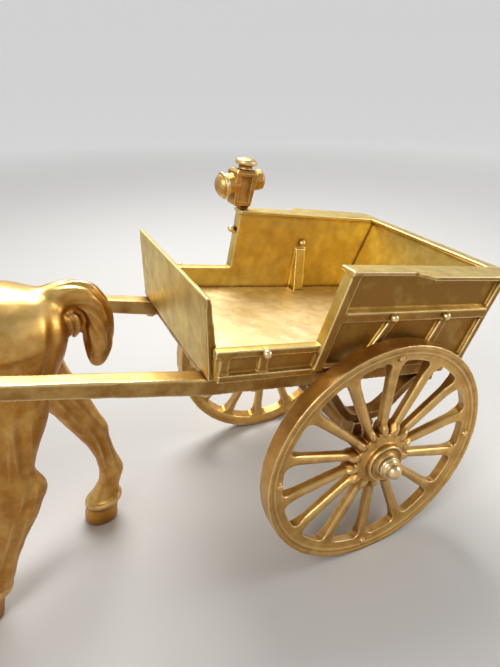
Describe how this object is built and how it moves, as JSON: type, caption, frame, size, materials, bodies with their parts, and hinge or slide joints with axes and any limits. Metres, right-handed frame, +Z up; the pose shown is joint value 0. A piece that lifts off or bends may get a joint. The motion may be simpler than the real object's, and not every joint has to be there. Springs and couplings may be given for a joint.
{
  "type": "toy horse and carriage",
  "caption": "Cast brass horse pinned between the shafts of a two-wheeled open carriage with leaf springs, a carriage lamp and freely turning wheels.",
  "frame": {"origin": "on the ground, under the middle of the overall length and halfway between the wheels", "axes": "-X is forward, from the tailboard towards the horse's head; -Y is the horse's near (left) side; +Z is up"},
  "size_m": [0.363, 0.1398, 0.1972],
  "materials": {
    "cast_brass": "cast and hand polished, golden, browner in the recesses",
    "dull_brass": "cast, tarnished brown",
    "turned_brass": "turned, bright"
  },
  "bodies": {
    "cart": {"axle": "dull_brass", "dashboard": "cast_brass", "tailboard": "cast_brass", "tray_floor": "cast_brass", "front_crossbar": "cast_brass", "rear_crossbar": "cast_brass", "near_side": "cast_brass", "far_side": "cast_brass", "near_shaft": "cast_brass", "far_shaft": "cast_brass", "near_leaf_spring": "dull_brass", "far_leaf_spring": "dull_brass", "near_axle_clamp": "dull_brass", "far_axle_clamp": "dull_brass", "near_clamp_bolt": "turned_brass", "far_clamp_bolt": "turned_brass", "near_dash_bolt": "turned_brass", "far_dash_bolt": "turned_brass", "near_front_bed_bolt": "turned_brass", "far_front_bed_bolt": "turned_brass", "near_rear_bed_bolt": "turned_brass", "far_rear_bed_bolt": "turned_brass", "near_front_spring_bolt": "turned_brass", "far_front_spring_bolt": "turned_brass", "near_rear_spring_bolt": "turned_brass", "far_rear_spring_bolt": "turned_brass", "near_hub_cap": "turned_brass", "far_hub_cap": "turned_brass", "near_sill_rivet": "turned_brass", "far_sill_rivet": "turned_brass", "near_front_brace_rivet": "turned_brass", "far_front_brace_rivet": "turned_brass", "near_rear_brace_rivet": "turned_brass", "far_rear_brace_rivet": "turned_brass", "near_inner_rib_rivet": "turned_brass", "far_inner_rib_rivet": "turned_brass", "far_post_rivet": "turned_brass", "lamp_body": "cast_brass", "lamp_bezel": "cast_brass", "lamp_chimney": "cast_brass", "lamp_stud": "turned_brass"},
    "near_wheel": {"near_wheel": "cast_brass"},
    "far_wheel": {"far_wheel": "cast_brass"},
    "horse": {"horse": "cast_brass", "near_shaft_pin": "turned_brass", "far_shaft_pin": "turned_brass"}
  },
  "joints": [
    {"name": "near_wheel_spin", "type": "hinge", "parent": "cart", "child": "near_wheel", "pos_m": [0.11493, -0.054, 0.055], "axis": [0, 1, 0], "continuous": true},
    {"name": "far_wheel_spin", "type": "hinge", "parent": "cart", "child": "far_wheel", "pos_m": [0.11493, 0.054, 0.055], "axis": [0, 1, 0], "continuous": true},
    {"name": "horse_swing", "type": "hinge", "parent": "cart", "child": "horse", "pos_m": [-0.09007, 0, 0.124], "axis": [0, 1, 0], "range_deg": [-28, 228]}
  ]
}
